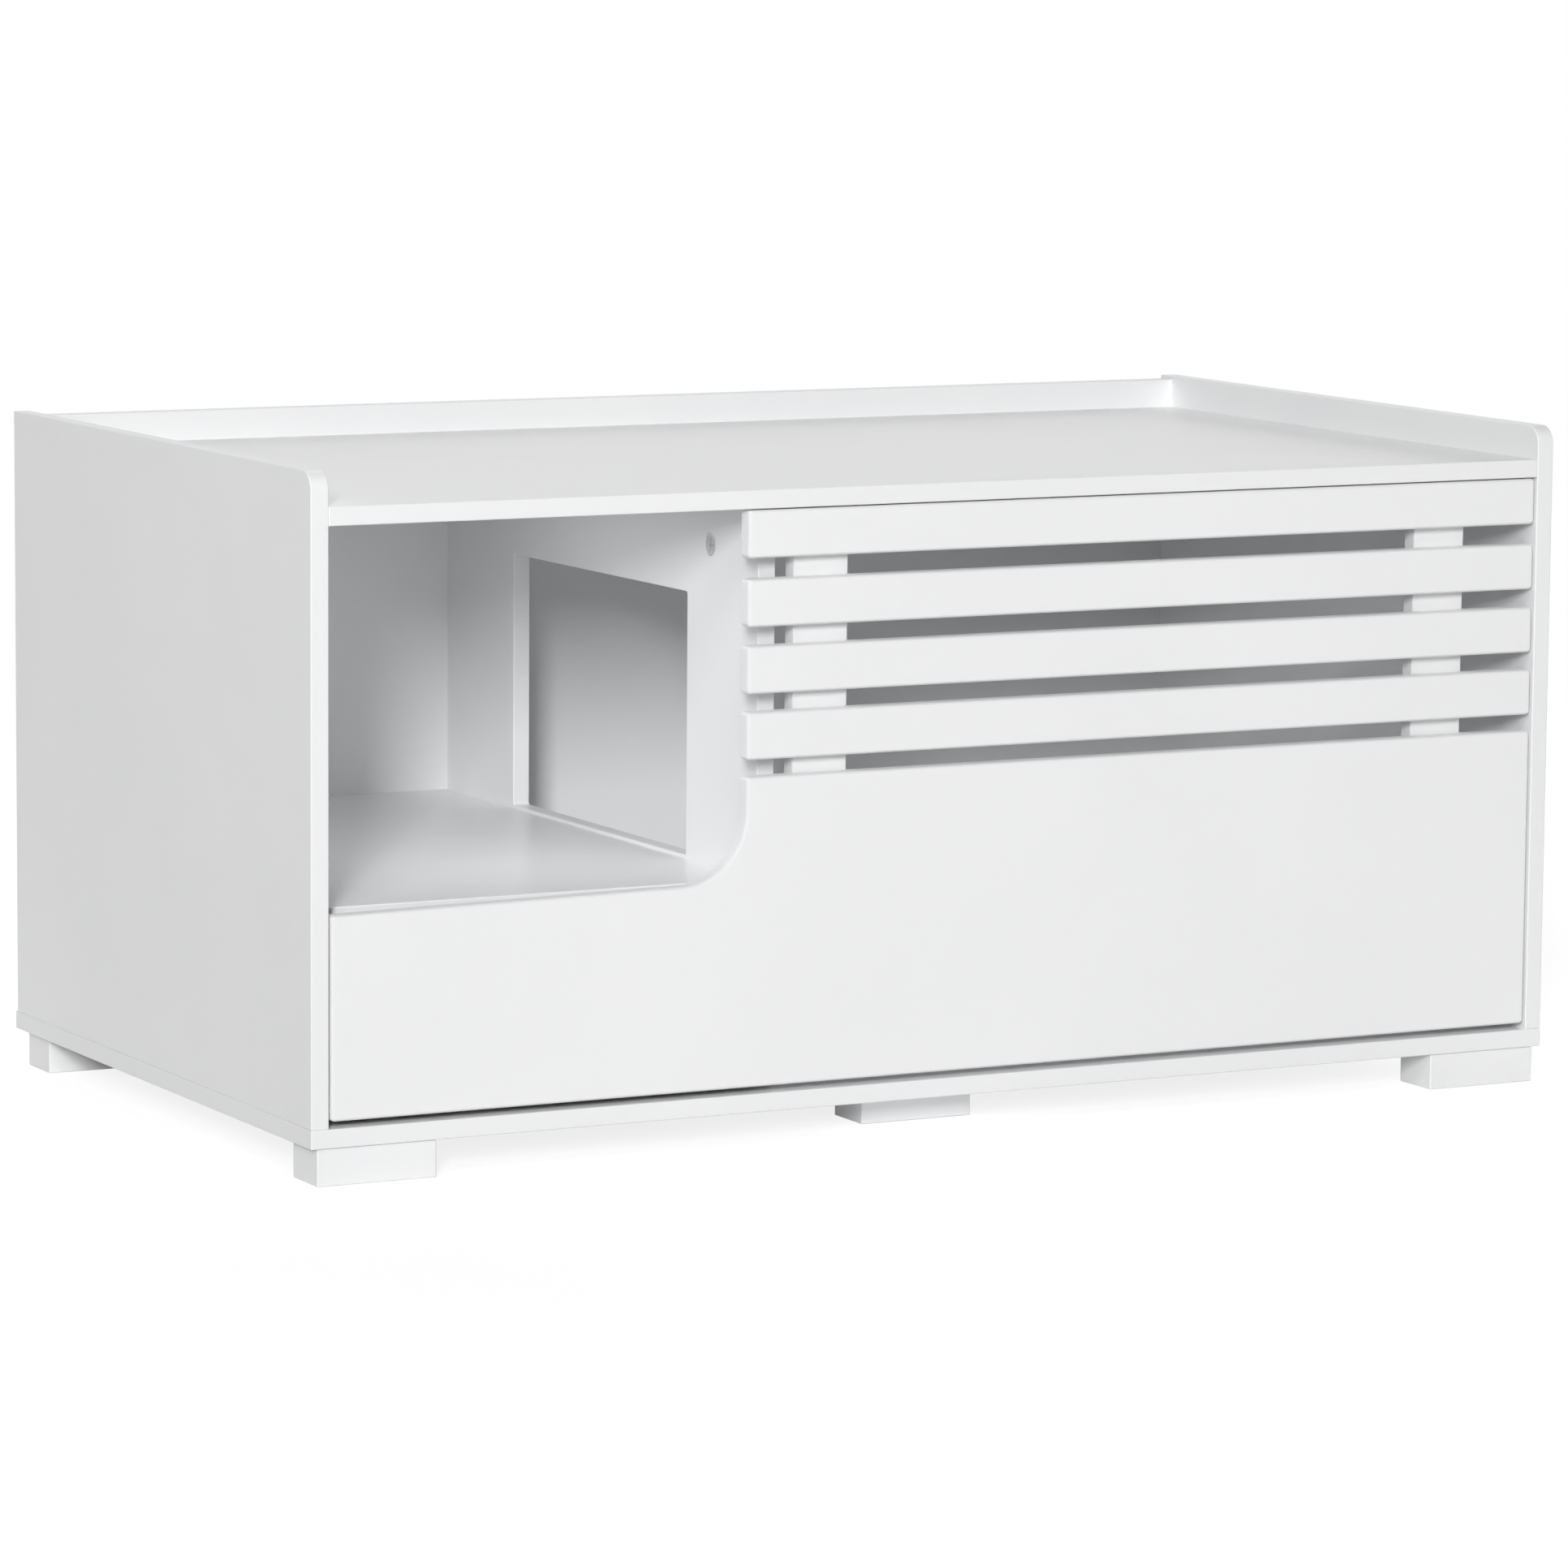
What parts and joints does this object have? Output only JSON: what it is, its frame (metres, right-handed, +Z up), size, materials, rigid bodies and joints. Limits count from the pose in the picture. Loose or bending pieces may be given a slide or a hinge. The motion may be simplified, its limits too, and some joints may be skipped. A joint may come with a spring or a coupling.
{
  "type": "cat cabinet",
  "caption": "Low white board cabinet on block feet that hides a litter tray: open entry bay with raised floor, doorway through a partition, and a stepped slatted front flap that tips down.",
  "frame": {"origin": "on the floor under the middle of the cabinet's bounding box", "axes": "+X to the right along the front, +Y to the back, +Z up; the flap is on the -Y side"},
  "size_m": [0.9, 0.495, 0.4415],
  "materials": {
    "white_board": "satin white foil on board",
    "white_lacquer": "satin white lacquer with rounded edges",
    "white_hardboard": "white-faced hardboard",
    "dowel_wood": "bare beech",
    "cam_zinc": "die-cast zinc",
    "screw_steel": "zinc-plated",
    "white_plastic": "moulded",
    "magnet": "ferrite with steel faces"
  },
  "bodies": {
    "cabinet": {"bottom_panel": "white_board", "left_side_panel": "white_board", "right_side_panel": "white_board", "top_panel": "white_board", "back_rail": "white_board", "back_board": "white_hardboard", "partition": "white_board", "entry_floor": "white_board", "foot_front_left": "white_board", "foot_front_right": "white_board", "foot_front_middle": "white_board", "foot_rear_left": "white_board", "foot_rear_right": "white_board", "foot_rear_middle": "white_board", "pivot_bush_left": "white_plastic", "pivot_bush_right": "white_plastic", "catch_housing_left": "white_plastic", "catch_housing_right": "white_plastic", "catch_magnet_left": "magnet", "catch_magnet_right": "magnet", "top_cam_nuts": "cam_zinc", "top_cam_bolts": "screw_steel", "partition_cam_nuts": "cam_zinc", "partition_cam_bolts": "screw_steel", "floor_cam_nuts": "cam_zinc", "floor_cam_bolts": "screw_steel", "top_dowels": "dowel_wood", "floor_dowels": "dowel_wood", "bottom_dowels": "dowel_wood", "bottom_screws": "screw_steel", "foot_screws": "screw_steel", "rail_screws": "screw_steel", "back_board_screws": "screw_steel", "catch_screws": "screw_steel"},
    "flap": {"flap_lower_panel": "white_lacquer", "flap_slat_1": "white_lacquer", "flap_slat_2": "white_lacquer", "flap_slat_3": "white_lacquer", "flap_slat_4": "white_lacquer", "flap_batten_left": "white_lacquer", "flap_batten_right": "white_lacquer", "pivot_pin_left": "screw_steel", "pivot_pin_right": "screw_steel", "strike_plate_left": "screw_steel", "strike_plate_right": "screw_steel", "batten_screws": "screw_steel", "strike_screws": "screw_steel"}
  },
  "joints": [
    {"name": "flap_hinge", "type": "hinge", "parent": "cabinet", "child": "flap", "pos_m": [0, -0.2415, 0.0504], "axis": [1, 0, 0], "range_deg": [0, 97]}
  ]
}
